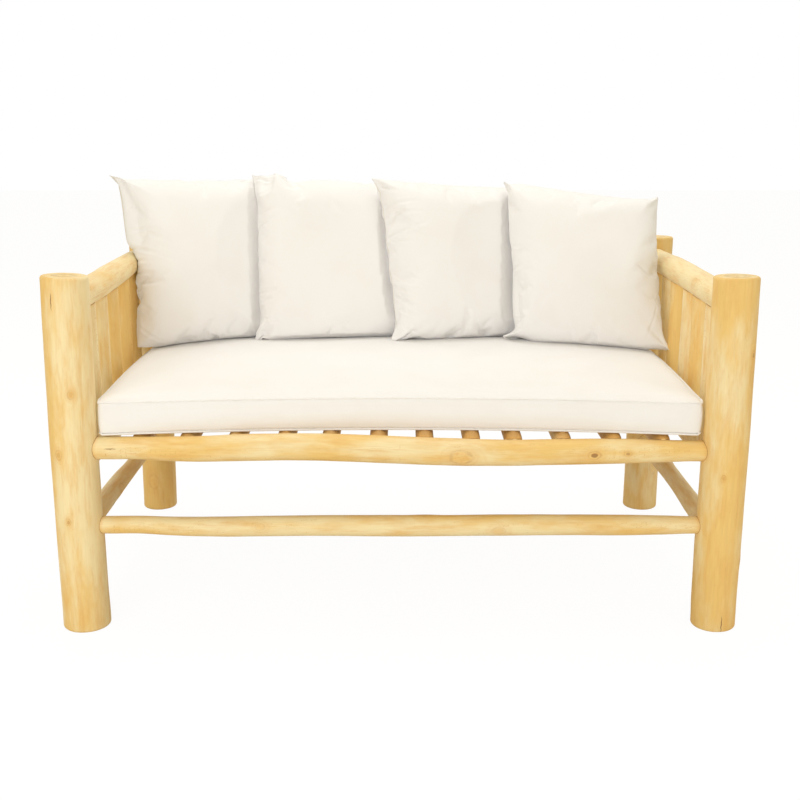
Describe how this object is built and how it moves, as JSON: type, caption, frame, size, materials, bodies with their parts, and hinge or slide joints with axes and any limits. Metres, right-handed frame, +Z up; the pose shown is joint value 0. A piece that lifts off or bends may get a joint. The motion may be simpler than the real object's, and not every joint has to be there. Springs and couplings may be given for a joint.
{
  "type": "patio loveseat",
  "caption": "Patio loveseat: a round-log wood frame with level arms and slatted sides, a boxed seat cushion and loose square back pillows.",
  "frame": {"origin": "on the ground, below the middle of the whole loveseat", "axes": "+X along the seat, to the right of someone who faces it; +Y towards the back; +Z up"},
  "size_m": [1.3987, 0.8455, 0.8875],
  "materials": {
    "log_wood": "clear satin oil over peeled, sanded logs",
    "cover_cloth": "plain woven unbleached cloth",
    "foam": "soft open foam",
    "filling": "loose fibre"
  },
  "bodies": {
    "frame": {"front_left_post": "log_wood", "front_right_post": "log_wood", "rear_left_post": "log_wood", "rear_right_post": "log_wood", "front_seat_rail": "log_wood", "rear_seat_rail": "log_wood", "left_seat_rail": "log_wood", "right_seat_rail": "log_wood", "front_stretcher": "log_wood", "left_stretcher": "log_wood", "right_stretcher": "log_wood", "left_arm_rail": "log_wood", "right_arm_rail": "log_wood", "back_top_rail": "log_wood", "left_side_slat_1": "log_wood", "left_side_slat_2": "log_wood", "left_side_slat_3": "log_wood", "left_side_slat_4": "log_wood", "left_side_slat_5": "log_wood", "left_side_slat_6": "log_wood", "right_side_slat_1": "log_wood", "right_side_slat_2": "log_wood", "right_side_slat_3": "log_wood", "right_side_slat_4": "log_wood", "right_side_slat_5": "log_wood", "right_side_slat_6": "log_wood", "back_slat_1": "log_wood", "back_slat_2": "log_wood", "back_slat_3": "log_wood", "back_slat_4": "log_wood", "back_slat_5": "log_wood", "back_slat_6": "log_wood", "back_slat_7": "log_wood", "back_slat_8": "log_wood", "back_slat_9": "log_wood", "back_slat_10": "log_wood", "back_slat_11": "log_wood", "seat_slat_1": "log_wood", "seat_slat_2": "log_wood", "seat_slat_3": "log_wood", "seat_slat_4": "log_wood", "seat_slat_5": "log_wood", "seat_slat_6": "log_wood", "seat_slat_7": "log_wood", "seat_slat_8": "log_wood", "seat_slat_9": "log_wood", "seat_slat_10": "log_wood", "seat_slat_11": "log_wood", "seat_slat_12": "log_wood"},
    "seat_cushion": {"seat_cushion_cover": "cover_cloth", "seat_cushion_foam": "foam"},
    "pillow_1": {"pillow_1_cover": "cover_cloth", "pillow_1_filling": "filling"},
    "pillow_2": {"pillow_2_cover": "cover_cloth", "pillow_2_filling": "filling"},
    "pillow_3": {"pillow_3_cover": "cover_cloth", "pillow_3_filling": "filling"},
    "pillow_4": {"pillow_4_cover": "cover_cloth", "pillow_4_filling": "filling"}
  },
  "joints": [
    {"name": "seat_cushion_lift", "type": "slide", "parent": "frame", "child": "seat_cushion", "axis": [0, 0, 1], "range_m": [0, 0.3]},
    {"name": "pillow_1_lift", "type": "slide", "parent": "seat_cushion", "child": "pillow_1", "axis": [0, 0.3256, 0.9455], "range_m": [0, 0.42]},
    {"name": "pillow_2_lift", "type": "slide", "parent": "seat_cushion", "child": "pillow_2", "axis": [0, 0.3256, 0.9455], "range_m": [0, 0.42]},
    {"name": "pillow_3_lift", "type": "slide", "parent": "seat_cushion", "child": "pillow_3", "axis": [0, 0.3256, 0.9455], "range_m": [0, 0.42]},
    {"name": "pillow_4_lift", "type": "slide", "parent": "seat_cushion", "child": "pillow_4", "axis": [0, 0.3256, 0.9455], "range_m": [0, 0.42]}
  ]
}
